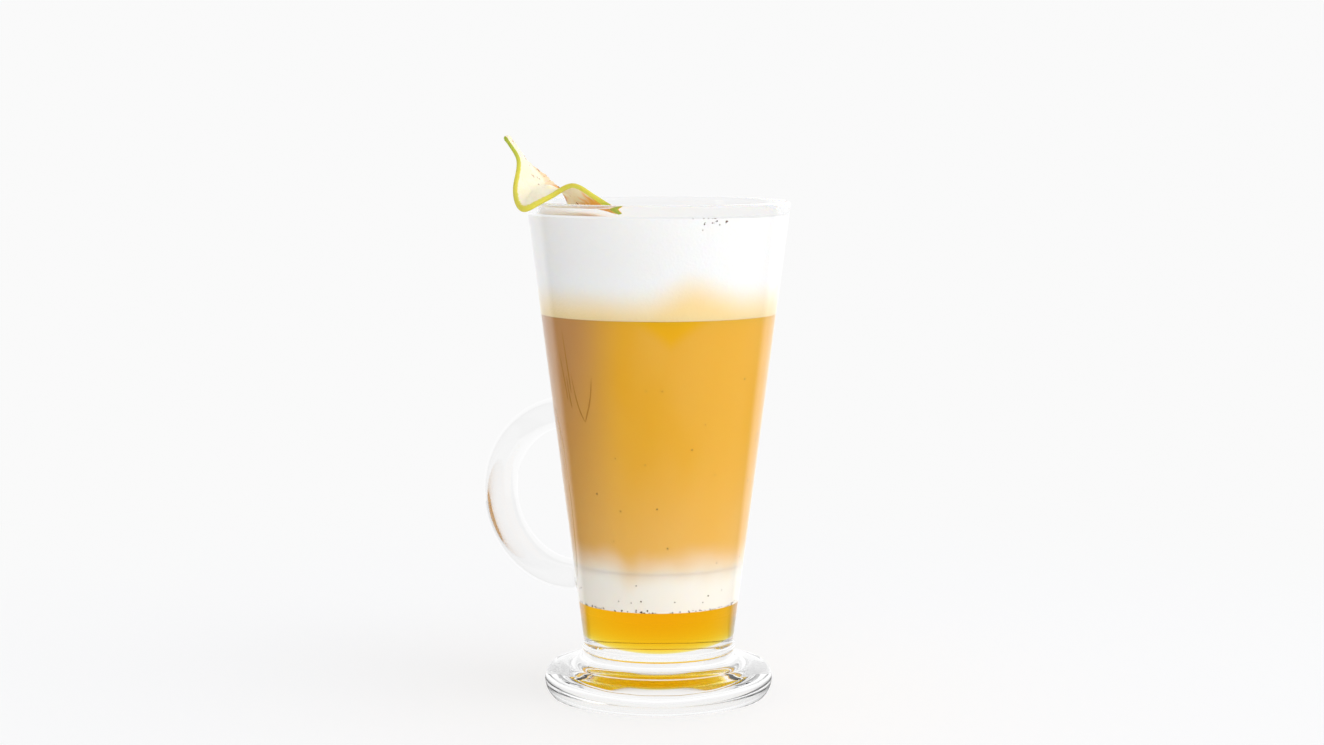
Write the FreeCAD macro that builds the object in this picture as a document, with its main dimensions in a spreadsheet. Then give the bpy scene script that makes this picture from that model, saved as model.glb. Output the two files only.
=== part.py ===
import FreeCAD, Part
import math
import os
import Sketcher

# A layered latte in a handled glass: syrup, milk, coffee and foam lie on each other in a tapered
# glass with a C-shaped handle and a stepped foot, and a dried pear slice hangs over the rim.
# +Z is up, the origin is the middle of the foot's underside, and the handle points along -X.

SIZES = {
    # the glass: a straight cone on a waisted foot
    "glass_height": 148.0,
    "rim_radius": 39.2,
    "cone_height": 15.6,
    "cone_radius": 22.4,
    "wall": 2.4,
    "rim_round": 1.1,
    # the cavity's floor: a shallow bowl, which a rounder corner joins to the wall
    "floor_height": 14.4,
    "bowl_radius": 18.5,
    "bowl_depth": 5.3,
    "corner_height": 9.2,
    "corner_round": 5.45,
    # the foot: a bead under the cone, a hollow flare, a rounded disc and a dished underside
    "bead_drop": 2.2,
    "bead_round": 1.25,
    "flare_height": 9.7,
    "flare_radius": 28.2,
    "flare_round": 6.0,
    "shoulder_height": 8.7,
    "shoulder_radius": 32.3,
    "foot_radius": 34.1,
    "foot_edge_height": 5.0,
    "tread_radius": 32.0,
    "dish_radius": 25.0,
    "dish_depth": 1.2,
    # the handle: part of a ring of oval section, blended into the wall
    "handle_height": 58.8,
    "handle_offset": 0.7,
    "handle_bend": 25.0,
    "handle_thickness": 9.4,
    "handle_width": 13.0,
    "handle_reach": 108.0,
    "handle_blend": 2.0,
    # the drink: how deep its layers are, with the coffee between them, and its play in the glass
    "syrup_depth": 14.0,
    "milk_depth": 11.6,
    "foam_depth": 29.4,
    "foam_crown": 0.4,
    "free_rim": 3.8,
    "drink_play": 0.05,
    # the pear slice: where it crosses the rim, in degrees from +X, and its play above the foam
    "slice_angle": 236.5,
    "slice_thickness": 1.6,
    "slice_play": 0.15,
}

# The curl of the dried pear slice from stem to blossom end. Each row is a place on the peel edge
# and one on the core edge, as (along the rim, off the wall, above the rim), and how far the flesh
# between them arches up. Off the wall counts from the outer face outward and from the inner face
# inward. Above the rim is the height of the slice's underside.
CURL = [
    ((-17.6, 6.4, 18.0), (-18.4, 5.0, 18.2), 0.0),
    ((-16.0, 4.4, 15.0), (-19.3, 2.9, 15.2), 0.3),
    ((-14.2, 2.8, 11.8), (-21.2, 0.6, 11.6), 0.6),
    ((-11.4, 4.0, 5.4), (-26.4, -2.2, 7.1), 1.0),
    ((-8.2, 5.2, 1.0), (-26.7, -4.1, 5.0), 1.6),
    ((-2.2, 4.4, -3.0), (-24.9, -6.3, 3.7), 3.0),
    ((0.0, 1.7, -1.3), (-23.5, -7.4, 3.0), 2.6),
    ((1.6, -0.6, 1.5), (-20.9, -8.3, 2.0), 1.2),
    ((7.5, -3.0, 4.5), (-13.9, -9.7, -1.5), 0.4),
    ((15.0, -3.5, 2.2), (-6.7, -12.1, -2.7), 0.6),
    ((21.6, -2.7, -0.7), (5.4, -13.3, -3.1), 0.5),
    ((27.6, -1.7, -3.6), (20.6, -8.6, -3.6), 0.2),
]

SHEET = "Sizes"
# how many stretches the slice is lofted in, and where across it its arch is worked out
SLICE_STRETCHES = 36
SLICE_SHARES = (0.0, 0.25, 0.5, 0.75, 1.0)
# the most of the wall's thickness that one edge's rounding may take
RIM_SHARE = 0.48
# a cavity that leaves more than this share of the solid has cut nothing
UNCUT_SHARE = 0.8
# heights closer than this are the same
SAME_HEIGHT = 0.01


def new_sheet(doc):
    """The driving sizes, one row each: a name, a value and an alias of that name."""
    sheet = doc.addObject("Spreadsheet::Sheet", SHEET)
    for row, (name, value) in enumerate(SIZES.items(), start=1):
        sheet.set(f"A{row}", name)
        sheet.set(f"B{row}", str(value))
        sheet.setAlias(f"B{row}", name)
    doc.recompute()
    return sheet


def size(name):
    """The formula that reads one size from the sheet."""
    return f"{SHEET}.{name}"


def value_of(sheet, formula):
    """The number that a formula gives with the sheet's present sizes."""
    return float(sheet.evalExpression(formula))


def origin_plane(body, role):
    """One of a body's own origin planes, such as XZ_Plane."""
    return next(f for f in body.Origin.OriginFeatures if f.Role == role)


def new_sketch(body, name, role):
    """An empty sketch on one of the body's origin planes."""
    sketch = body.newObject("Sketcher::SketchObject", name)
    sketch.AttachmentSupport = [(origin_plane(body, role), "")]
    sketch.MapMode = "FlatFace"
    return sketch


def bind(sketch, index, label, formula):
    """Names a sketch constraint and ties its value to a formula."""
    sketch.renameConstraint(index, label)
    sketch.setExpression(f"Constraints.{label}", formula)


def arc_between(start, end, radius):
    """The short arc from start to end; a positive radius bulges to the right of the way along."""
    chord = end - start
    half = chord.Length / 2
    rise = math.sqrt(max(radius * radius - half * half, 0.0))
    left = FreeCAD.Vector(-chord.y, chord.x, 0).normalize()
    centre = (start + end) / 2 + left * math.copysign(rise, radius)
    first, last = (start, end) if radius > 0 else (end, start)
    angles = [math.atan2(p.y - centre.y, p.x - centre.x) for p in (first, last)]
    if angles[1] < angles[0]:
        angles[1] += 2 * math.pi
    circle = Part.Circle(centre, FreeCAD.Vector(0, 0, 1), abs(radius))
    return Part.ArcOfCircle(circle, *angles)


def outline(body, sheet, name, corners, rounds):
    """A closed outline on the XZ plane, fully held by the sheet.

    corners maps each corner's name to formulas for how far out and how high it is, going round
    anticlockwise. rounds maps a corner to (side, formula) where the edge that leaves it is an
    arc: side 1 swells out of the outline, and side -1 hollows it.
    """
    sketch = new_sketch(body, name, "XZ_Plane")
    names = list(corners)
    points = {
        n: FreeCAD.Vector(value_of(sheet, out), value_of(sheet, up), 0)
        for n, (out, up) in corners.items()
    }
    starts, ends = {}, {}
    for place, corner in enumerate(names):
        following = names[(place + 1) % len(names)]
        if corner in rounds:
            side, formula = rounds[corner]
            arc = arc_between(points[corner], points[following], side * value_of(sheet, formula))
            edge = sketch.addGeometry(arc, False)
            first, last = ((edge, 1), (edge, 2)) if side > 0 else ((edge, 2), (edge, 1))
            index = sketch.addConstraint(Sketcher.Constraint("Radius", edge, arc.Radius))
            bind(sketch, index, f"{corner}_round", formula)
        else:
            line = Part.LineSegment(points[corner], points[following])
            edge = sketch.addGeometry(line, False)
            first, last = (edge, 1), (edge, 2)
        starts[corner] = first
        ends[following] = last
    for corner, formulas in corners.items():
        sketch.addConstraint(Sketcher.Constraint("Coincident", *ends[corner], *starts[corner]))
        place = (points[corner].x, points[corner].y)
        for kind, axis, label, formula, now in zip(
            ("DistanceX", "DistanceY"), (-2, -1), ("out", "up"), formulas, place
        ):
            if formula == "0":
                sketch.addConstraint(Sketcher.Constraint("PointOnObject", *starts[corner], axis))
            else:
                rule = Sketcher.Constraint(kind, -1, 1, *starts[corner], now)
                bind(sketch, sketch.addConstraint(rule), f"{corner}_{label}", formula)
    return sketch


def lathe(body, sketch, name, kind="PartDesign::Revolution"):
    """Turns an outline a full round about the Z axis, to add to the body or to cut it."""
    turned = body.newObject(kind, name)
    turned.Profile = sketch
    turned.ReferenceAxis = (sketch, ["V_Axis"])
    turned.Angle = 360.0
    return turned


# The formulas that the glass and the drink share, so that each layer fits the cavity.

BOWL_TOP = f"({size('floor_height')} + {size('bowl_depth')})"
BOWL_ROUND = f"({size('bowl_radius')}^2 + {size('bowl_depth')}^2) / (2 * {size('bowl_depth')})"
WALL_FOOT = f"({size('floor_height')} + {size('corner_height')})"
SYRUP_TOP = f"({size('floor_height')} + {size('syrup_depth')})"
MILK_TOP = f"({SYRUP_TOP} + {size('milk_depth')})"
FOAM_TOP = f"({size('glass_height')} - {size('free_rim')})"
COFFEE_TOP = f"({FOAM_TOP} - {size('foam_depth')})"
TAPER = (
    f"(({size('rim_radius')} - {size('cone_radius')})"
    f" / ({size('glass_height')} - {size('cone_height')}))"
)


def outer_radius(height):
    """The formula for the cone's outer radius at a height."""
    return f"({size('cone_radius')} + {TAPER} * ({height} - {size('cone_height')}))"


def drink_radius(height):
    """The formula for the drink's radius at a height."""
    return f"({outer_radius(height)} - {size('wall')} - {size('drink_play')})"


def upright_round(radius, height):
    """The formula for the arc that stands upright at the foot's edge and passes a corner."""
    across = f"({size('foot_radius')} - {size(radius)})"
    rise = f"({size('foot_edge_height')} - {height})"
    return f"({across}^2 + {rise}^2) / (2 * {across})"


def make_glass(doc, sheet):
    """One piece of pressed glass: turned outside, ring handle, blends, turned cavity, round rim."""
    body = doc.addObject("PartDesign::Body", "glass")
    bead_foot = f"{size('cone_height')} - {size('bead_drop')}"
    dish = f"({size('dish_radius')}^2 + {size('dish_depth')}^2) / (2 * {size('dish_depth')})"
    outside = outline(
        body,
        sheet,
        "outside_outline",
        {
            "dish_top": ("0", size("dish_depth")),
            "dish_edge": (size("dish_radius"), "0"),
            "tread": (size("tread_radius"), "0"),
            "edge": (size("foot_radius"), size("foot_edge_height")),
            "shoulder": (size("shoulder_radius"), size("shoulder_height")),
            "flare_end": (size("flare_radius"), size("flare_height")),
            "bead_foot": (size("cone_radius"), bead_foot),
            "cone_foot": (size("cone_radius"), size("cone_height")),
            "rim": (size("rim_radius"), size("glass_height")),
            "middle": ("0", size("glass_height")),
        },
        {
            "dish_top": (-1, dish),
            "tread": (1, upright_round("tread_radius", "0")),
            "edge": (1, upright_round("shoulder_radius", size("shoulder_height"))),
            "flare_end": (-1, size("flare_round")),
            "bead_foot": (1, size("bead_round")),
        },
    )
    lathe(body, outside, "outside")
    doc.recompute()
    handle = make_handle(body, sheet)
    doc.recompute()
    blend_handle(body, sheet, handle)
    doc.recompute()
    cavity = outline(
        body,
        sheet,
        "cavity_outline",
        {
            "floor": ("0", size("floor_height")),
            "bowl_edge": (size("bowl_radius"), BOWL_TOP),
            "wall_foot": (f"({outer_radius(WALL_FOOT)} - {size('wall')})", WALL_FOOT),
            "brim": (f"({size('rim_radius')} - {size('wall')})", size("glass_height")),
            "brim_middle": ("0", size("glass_height")),
        },
        {"floor": (1, BOWL_ROUND), "bowl_edge": (1, size("corner_round"))},
    )
    uncut = body.Tip.Shape.Volume
    lathe(body, cavity, "cavity", "PartDesign::Groove")
    doc.recompute()
    if body.Tip.Shape.Volume > UNCUT_SHARE * uncut:
        raise RuntimeError("the cavity cut nothing")
    round_rim(body, sheet)
    return body


def make_handle(body, sheet):
    """The handle: an oval turned about a line that runs across the glass, beside its axis."""
    sketch = new_sketch(body, "handle_section", "XY_Plane")
    sketch.setExpression(".AttachmentOffset.Base.z", size("handle_height"))
    stand_off = f"{outer_radius(size('handle_height'))} + {size('handle_offset')}"
    width, thickness = size("handle_width"), size("handle_thickness")
    offset = value_of(sheet, stand_off)
    bend = value_of(sheet, size("handle_bend"))
    half_width = value_of(sheet, width) / 2
    half_thickness = value_of(sheet, thickness) / 2
    point = FreeCAD.Vector
    rule = Sketcher.Constraint
    pivot_line = Part.LineSegment(point(-offset, -half_width), point(-offset, half_width))
    pivot = sketch.addGeometry(pivot_line, True)
    middle = point(-offset - bend, 0)
    oval = Part.Ellipse(middle + point(0, half_width), middle + point(half_thickness, 0), middle)
    edge = sketch.addGeometry(oval, False)
    sketch.exposeInternalGeometry(edge)
    long_axis, short_axis = edge + 1, edge + 2
    sketch.addConstraint(rule("Symmetric", pivot, 1, pivot, 2, -1))
    sketch.addConstraint(rule("PointOnObject", edge, 3, -1))
    sketch.addConstraint(rule("Vertical", long_axis))
    measures = {
        "pivot_length": (rule("Distance", pivot, 2 * half_width), width),
        "width": (rule("Distance", long_axis, 2 * half_width), width),
        "thickness": (rule("Distance", short_axis, 2 * half_thickness), thickness),
        "stand_off": (rule("DistanceX", pivot, 1, -1, 1, offset), stand_off),
        "bend": (rule("DistanceX", edge, 3, pivot, 1, bend), size("handle_bend")),
    }
    for label, (measure, formula) in measures.items():
        bind(sketch, sketch.addConstraint(measure), label, formula)
    handle = body.newObject("PartDesign::Revolution", "handle")
    handle.Profile = sketch
    handle.ReferenceAxis = (sketch, ["Axis0"])
    handle.Midplane = True
    handle.setExpression("Angle", f"2 * {size('handle_reach')}")
    return handle


def blend_handle(body, sheet, handle):
    """Rounds the seams between handle and wall: the cone's edges on the handle's side."""
    beside = -value_of(sheet, size("cone_radius")) / 2
    cones = [f for f in handle.Shape.Faces if f.Surface.TypeId == "Part::GeomCone"]
    cone = max(cones, key=lambda face: face.Area)
    seams = [
        f"Edge{place}"
        for place, edge in enumerate(handle.Shape.Edges, start=1)
        if edge.CenterOfMass.x < beside
        and any(edge.isSame(other) for other in cone.Edges)
    ]
    if not seams:
        raise RuntimeError("the handle doesn't meet the wall")
    blend = body.newObject("PartDesign::Fillet", "handle_blend")
    blend.Base = (handle, seams)
    blend.setExpression("Radius", size("handle_blend"))
    return blend


def round_rim(body, sheet):
    """Rounds the rim's two circular edges, as far as the wall allows."""
    cavity = body.Tip
    top = value_of(sheet, size("glass_height"))
    edges = [
        f"Edge{place}"
        for place, edge in enumerate(cavity.Shape.Edges, start=1)
        if edge.BoundBox.ZMin > top - SAME_HEIGHT
    ]
    rim = body.newObject("PartDesign::Fillet", "rim")
    rim.Base = (cavity, edges)
    rim.setExpression("Radius", f"min({size('rim_round')}; {RIM_SHARE} * {size('wall')})")
    return rim


def make_layer(doc, sheet, name, bottom, top):
    """One level layer of the drink, between two heights, out to the glass."""
    body = doc.addObject("PartDesign::Body", name)
    corners = {
        "bottom_middle": ("0", bottom),
        "bottom_edge": (drink_radius(bottom), bottom),
        "top_edge": (drink_radius(top), top),
        "top_middle": ("0", top),
    }
    lathe(body, outline(body, sheet, f"{name}_outline", corners, {}), f"{name}_turned")
    return body


def make_syrup(doc, sheet):
    """The lowest layer, which fills the bowl and its corner."""
    body = doc.addObject("PartDesign::Body", "syrup")
    play = size("drink_play")
    corners = {
        "floor": ("0", f"{size('floor_height')} + {play}"),
        "bowl_edge": (size("bowl_radius"), f"{BOWL_TOP} + {play}"),
        "wall_foot": (drink_radius(WALL_FOOT), WALL_FOOT),
        "top_edge": (drink_radius(SYRUP_TOP), SYRUP_TOP),
        "top_middle": ("0", SYRUP_TOP),
    }
    rounds = {"floor": (1, BOWL_ROUND), "bowl_edge": (1, size("corner_round"))}
    lathe(body, outline(body, sheet, "syrup_outline", corners, rounds), "syrup_turned")
    return body


def make_foam(doc, sheet):
    """The top layer, whose free surface is slightly crowned."""
    body = doc.addObject("PartDesign::Body", "foam")
    bottom, top = COFFEE_TOP, FOAM_TOP
    half = drink_radius(top)
    crown = f"({half}^2 + {size('foam_crown')}^2) / (2 * {size('foam_crown')})"
    corners = {
        "bottom_middle": ("0", bottom),
        "bottom_edge": (drink_radius(bottom), bottom),
        "top_edge": (half, top),
        "crown": ("0", f"{top} + {size('foam_crown')}"),
    }
    rounds = {"top_edge": (1, crown)}
    lathe(body, outline(body, sheet, "foam_outline", corners, rounds), "foam_turned")
    return body


def slice_point(sheet, place):
    """A point of the slice's middle surface, from a place in CURL, round the rim from +X."""
    along, off, above = place
    half_wall = value_of(sheet, size("wall")) / 2
    middle = value_of(sheet, size("rim_radius")) - half_wall
    angle = along / middle
    radius = middle + off + math.copysign(half_wall, off)
    height = value_of(sheet, f"{size('glass_height')} + {size('slice_thickness')} / 2") + above
    return FreeCAD.Vector(radius * math.cos(angle), radius * math.sin(angle), height)


def above_foam(sheet, point):
    """The same point, lifted where the slice would sink into the foam."""
    inside = value_of(sheet, f"{size('rim_radius')} - {size('wall')}")
    lift = f"{size('foam_crown')} + {size('slice_play')} + {size('slice_thickness')} / 2"
    if math.hypot(point.x, point.y) < inside:
        point.z = max(point.z, value_of(sheet, f"{FOAM_TOP} + {lift}"))
    return point


def smooth_curve(points, places):
    """A smooth curve that passes each point at the parameter of the same rank."""
    curve = Part.BSplineCurve()
    curve.interpolate(Points=points, Parameters=places)
    return curve


def slice_section(peel, core, normal, arch, thickness):
    """One closed section across the slice: an arched top, a like underside and two short edges."""
    faces = []
    for side in (0.5, -0.5):
        points = []
        for share in SLICE_SHARES:
            rise = 4 * share * (1 - share) * arch + side * thickness
            points.append(peel + (core - peel) * share + normal * rise)
        curve = Part.BSplineCurve()
        curve.interpolate(points)
        faces.append((curve.toShape(), points[0], points[-1]))
    (top, top_peel, top_core), (under, under_peel, under_core) = faces
    core_edge = Part.LineSegment(top_core, under_core).toShape()
    peel_edge = Part.LineSegment(under_peel, top_peel).toShape()
    return Part.Wire([top, core_edge, under.reversed(), peel_edge])


def make_slice(doc, sheet):
    """The dried half slice of pear, a thin arched sheet lofted along the curl."""
    thickness = value_of(sheet, size("slice_thickness"))
    peels = [slice_point(sheet, peel) for peel, _, _ in CURL]
    cores = [slice_point(sheet, core) for _, core, _ in CURL]
    arches = [FreeCAD.Vector(arch, 0, 0) for _, _, arch in CURL]
    places = [0.0]
    for before, after in zip(peels, peels[1:]):
        places.append(places[-1] + (after - before).Length)
    peel_line = smooth_curve(peels, places)
    core_line = smooth_curve(cores, places)
    arch_line = smooth_curve(arches, places)
    sections = []
    for step in range(SLICE_STRETCHES + 1):
        place = places[-1] * step / SLICE_STRETCHES
        peel = above_foam(sheet, peel_line.value(place))
        core = above_foam(sheet, core_line.value(place))
        normal = peel_line.tangent(place)[0].cross(core - peel).normalize()
        arch = arch_line.value(place).x
        sections.append(slice_section(peel, core, normal, arch, thickness))
    part = doc.addObject("Part::Feature", "pear_chip")
    part.Shape = Part.makeLoft(sections, True, False)
    turn = FreeCAD.Rotation(FreeCAD.Vector(0, 0, 1), value_of(sheet, size("slice_angle")))
    part.Placement = FreeCAD.Placement(FreeCAD.Vector(), turn)
    return part


def main():
    doc = FreeCAD.newDocument("latte")
    sheet = new_sheet(doc)
    parts = [
        make_glass(doc, sheet),
        make_syrup(doc, sheet),
        make_layer(doc, sheet, "milk", SYRUP_TOP, MILK_TOP),
        make_layer(doc, sheet, "coffee", MILK_TOP, COFFEE_TOP),
        make_foam(doc, sheet),
        make_slice(doc, sheet),
    ]
    doc.recompute()
    for thing in doc.Objects:
        if {"Invalid", "Error"} & set(thing.State):
            raise RuntimeError(f"{thing.Name} failed: {thing.State}")
    for part in parts:
        if part.Shape.isNull() or not part.Shape.isValid():
            raise RuntimeError(f"{part.Label} has no valid shape")
    os.makedirs("parts", exist_ok=True)
    for part in parts:
        part.Shape.exportStep(f"parts/{part.Label}.step")
        print(part.Label, round(part.Shape.Volume / 1000, 2), "ml", len(part.Shape.Solids))


main()
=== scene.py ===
import math
import random

import bmesh
import bpy
import numpy as np
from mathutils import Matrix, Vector


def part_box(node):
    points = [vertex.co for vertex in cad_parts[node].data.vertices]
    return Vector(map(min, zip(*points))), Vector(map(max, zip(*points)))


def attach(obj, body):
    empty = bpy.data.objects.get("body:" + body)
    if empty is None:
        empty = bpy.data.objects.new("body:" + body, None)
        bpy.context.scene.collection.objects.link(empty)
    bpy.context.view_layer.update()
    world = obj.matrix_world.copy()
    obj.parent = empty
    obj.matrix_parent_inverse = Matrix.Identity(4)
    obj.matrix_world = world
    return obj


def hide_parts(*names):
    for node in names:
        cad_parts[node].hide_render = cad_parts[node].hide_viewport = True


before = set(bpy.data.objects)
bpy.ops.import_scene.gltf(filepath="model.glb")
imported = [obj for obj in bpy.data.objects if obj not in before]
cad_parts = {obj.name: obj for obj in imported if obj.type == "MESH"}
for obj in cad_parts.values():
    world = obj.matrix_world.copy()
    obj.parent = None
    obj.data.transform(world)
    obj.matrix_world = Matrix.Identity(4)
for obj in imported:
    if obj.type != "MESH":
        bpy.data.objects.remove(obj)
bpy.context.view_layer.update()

MM = 0.001

# ---------------------------------------------------------------------------------------------
# Sizes, in millimetres. Heights come from the imported model.
# ---------------------------------------------------------------------------------------------


def corners(node):
    """A node's lowest and highest corners in millimetres."""
    low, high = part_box(node)
    return [v / MM for v in low], [v / MM for v in high]


DRINK_PLAY = 0.05  # between the syrup's solid and the cavity's floor
GLASS_TOP = corners("glass")[1][2]
SYRUP_TOP = corners("syrup")[1][2]
MILK_TOP = corners("milk")[1][2]
COFFEE_TOP = corners("coffee")[1][2]
FLOOR = corners("syrup")[0][2] - DRINK_PLAY
FOAM_CROWN = 0.4
FOAM_TOP = corners("foam")[1][2] - FOAM_CROWN

RIM_RADIUS = 39.2
CONE_RADIUS = 22.4
CONE_FOOT = 15.6
WALL = 2.4
RIM_ROUND = 1.1
BOWL_RADIUS = 18.5
BOWL_DEPTH = 5.3
BOWL = (BOWL_RADIUS, FLOOR + BOWL_DEPTH)
BOWL_ROUND = (BOWL_RADIUS**2 + BOWL_DEPTH**2) / (2 * BOWL_DEPTH)
WALL_FOOT = FLOOR + 9.2
CORNER_ROUND = 5.45
BEAD_DROP = 2.2
BEAD_ROUND = 1.25
FLARE = (28.2, 9.7)
FLARE_ROUND = 6.0
SHOULDER = (32.3, 8.7)
FOOT_EDGE = (34.1, 5.0)
TREAD_RADIUS = 32.0
DISH = (25.0, 1.2)
HANDLE_HEIGHT = 58.8
HANDLE_OFFSET = 0.7
HANDLE_BEND = 25.0
HANDLE_THICKNESS = 9.4
HANDLE_WIDTH = 13.0
HANDLE_REACH = 112.0  # degrees of the ring to either side of its outermost point
HANDLE_BLEND = 2.6
HANDLE_AROUND = 72
HANDLE_ALONG = 220
HANDLE_ROUNDS = 6  # rounds of the search for how far a section spreads near the wall
INTO_WALL = 0.12
WET_REACH = 0.12  # how far from the cavity's wall a face still counts as that wall
SHARP_EDGE = 35.0  # degrees
TURN_STEPS = 256


def outer_radius(height):
    """The glass cone's outer radius at a height."""
    taper = (RIM_RADIUS - CONE_RADIUS) / (GLASS_TOP - CONE_FOOT)
    return CONE_RADIUS + taper * (height - CONE_FOOT)


def inner_radius(height):
    """The cavity's radius at a height."""
    return outer_radius(height) - WALL


# ---------------------------------------------------------------------------------------------
# Mesh helpers
# ---------------------------------------------------------------------------------------------


def new_object(name, mesh):
    piece = bpy.data.objects.new(name, mesh)
    bpy.context.scene.collection.objects.link(piece)
    return piece


def mesh_from(name, points, faces):
    """A smooth-shaded mesh object from points in millimetres and faces."""
    mesh = bpy.data.meshes.new(name)
    mesh.from_pydata([tuple(c * MM for c in p) for p in points], [], faces)
    mesh.validate()
    mesh.shade_smooth()
    return new_object(name, mesh)


def arc(start, end, radius, steps=10):
    """Points of the short arc from start to end, without the start. A positive radius swells to
    the right of the way along, and a negative one to the left."""
    (x0, y0), (x1, y1) = start, end
    dx, dy = x1 - x0, y1 - y0
    chord = math.hypot(dx, dy)
    rise = math.sqrt(max(radius * radius - chord * chord / 4, 0.0))
    rise = math.copysign(rise, radius)
    cx = (x0 + x1) / 2 - dy / chord * rise
    cy = (y0 + y1) / 2 + dx / chord * rise
    a0 = math.atan2(y0 - cy, x0 - cx)
    a1 = math.atan2(y1 - cy, x1 - cx)
    turn = (a1 - a0 + math.pi) % (2 * math.pi) - math.pi
    size = abs(radius)
    angles = [a0 + turn * k / steps for k in range(1, steps + 1)]
    return [(cx + size * math.cos(angle), cy + size * math.sin(angle)) for angle in angles]


def line(start, end, steps):
    """Evenly spaced points from start to end, without the start."""
    return [
        tuple(a + (b - a) * k / steps for a, b in zip(start, end)) for k in range(1, steps + 1)
    ]


def turned(name, outline):
    """A closed solid of revolution from an outline that starts and ends on the axis."""
    points = [(0.0, 0.0, outline[0][1])]
    rings = outline[1:-1]
    for radius, height in rings:
        for k in range(TURN_STEPS):
            angle = 2 * math.pi * k / TURN_STEPS
            points.append((radius * math.cos(angle), radius * math.sin(angle), height))
    points.append((0.0, 0.0, outline[-1][1]))
    last = len(points) - 1
    faces = []
    for k in range(TURN_STEPS):
        after = (k + 1) % TURN_STEPS
        faces.append((0, 1 + after, 1 + k))
        for ring in range(len(rings) - 1):
            low, high = 1 + ring * TURN_STEPS, 1 + (ring + 1) * TURN_STEPS
            faces.append((low + k, low + after, high + after, high + k))
        top = 1 + (len(rings) - 1) * TURN_STEPS
        faces.append((top + k, top + after, last))
    return mesh_from(name, points, faces)


def tube_faces(along, around, start=0):
    """The faces of a closed tube of along steps, whose sections have around points each."""
    faces = []
    for step in range(along):
        low, high = start + step * around, start + (step + 1) * around
        for k in range(around):
            after = (k + 1) % around
            faces.append((low + k, high + k, high + after, low + after))
    last = start + along * around
    faces.append(tuple(start + k for k in range(around)))
    faces.append(tuple(last + k for k in reversed(range(around))))
    return faces


def apply_boolean(piece, other, operation):
    """Adds or cuts another closed mesh, which is then deleted."""
    change = piece.modifiers.new("boolean", "BOOLEAN")
    change.operation = operation
    change.object = other
    change.solver = "EXACT"
    depsgraph = bpy.context.evaluated_depsgraph_get()
    mesh = bpy.data.meshes.new_from_object(piece.evaluated_get(depsgraph))
    piece.modifiers.clear()
    piece.data = mesh
    bpy.data.objects.remove(other)


def sharpen(piece, degrees):
    """Smooth shading, with edges that turn more than this many degrees kept sharp."""
    mesh = piece.data
    mesh.shade_smooth()
    mesh.set_sharp_from_angle(angle=math.radians(degrees))


# ---------------------------------------------------------------------------------------------
# Material helpers
# ---------------------------------------------------------------------------------------------


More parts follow.
